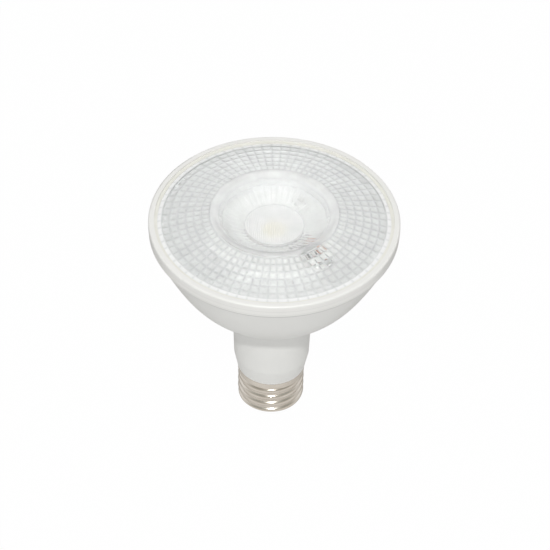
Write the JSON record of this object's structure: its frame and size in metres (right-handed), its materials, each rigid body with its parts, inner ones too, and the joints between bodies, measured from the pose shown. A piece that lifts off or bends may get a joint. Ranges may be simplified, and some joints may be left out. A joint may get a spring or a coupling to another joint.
{
  "type": "reflector spotlight lamp",
  "caption": "Reflector spotlight lamp with a screw cap, white moulded housing, aluminium reflector and cup, and a clear prismatic lens with a fluted bowl.",
  "frame": {"origin": "Middle of the centre contact's lower face, on the lamp's axis.", "axes": "+Z runs from the contact along the lamp's axis to the lens face; the printed circuit stands in the XZ plane."},
  "size_m": [0.095, 0.095, 0.1042],
  "materials": {
    "housing_white": "satin white moulded plastic",
    "bezel_ivory": "glossy ivory-white moulded plastic",
    "seal_cream": "cream silicone, matt",
    "lens_clear": "clear moulded optical plastic, prismatic underside",
    "reflector_satin": "satin pressed aluminium",
    "sink_aluminium": "spun aluminium, plain",
    "plate_aluminium": "turned aluminium, plain",
    "pad_grey": "soft grey thermal pad",
    "board_white": "white solder mask over aluminium core",
    "screw_steel": "zinc-plated steel",
    "chip_ceramic": "white ceramic",
    "dam_white": "white silicone",
    "phosphor_yellow": "yellow phosphor in silicone",
    "solder_tin": "bright solder",
    "wire_red": "red insulation",
    "wire_black": "black insulation",
    "wire_white": "white insulation",
    "circuit_green": "green solder mask",
    "resistor_blue": "pale blue lacquer",
    "varistor_blue": "dark blue lacquer",
    "package_black": "black moulded package",
    "film_yellow": "yellow box",
    "can_black": "dark sleeve over an aluminium can",
    "bobbin_black": "black moulded bobbin",
    "coil_tape": "yellow tape",
    "ferrite": "sintered ferrite",
    "copper_enamel": "enamelled copper",
    "cap_nickel": "nickel-plated brass, warm tint",
    "insulator_dark": "black cap glass",
    "contact_nickel": "nickel-plated brass",
    "pin_brass": "bright brass"
  },
  "bodies": {
    "root": {"housing": "housing_white", "heat_sink": "sink_aluminium", "mounting_plate": "plate_aluminium", "thermal_pad": "pad_grey", "led_board": "board_white", "board_screws": "screw_steel", "chip_base": "chip_ceramic", "chip_dam": "dam_white", "phosphor": "phosphor_yellow", "solder_pads": "solder_tin", "positive_wire": "wire_red", "negative_wire": "wire_black", "reflector": "reflector_satin", "front_lens": "lens_clear", "lens_seal": "seal_cream", "bezel_ring": "bezel_ivory", "circuit_board": "circuit_green", "fuse_resistor": "resistor_blue", "varistor": "varistor_blue", "bridge_rectifier": "package_black", "film_capacitor": "film_yellow", "input_capacitor": "can_black", "output_capacitor": "can_black", "transformer_bobbin": "bobbin_black", "transformer_coil": "coil_tape", "transformer_core": "ferrite", "choke_core": "ferrite", "choke_coil": "copper_enamel", "driver_chip": "package_black", "live_wire": "wire_black", "neutral_wire": "wire_white", "cap_shell": "cap_nickel", "cap_insulator": "insulator_dark", "centre_contact": "contact_nickel", "contact_pin": "pin_brass"}
  },
  "joints": []
}
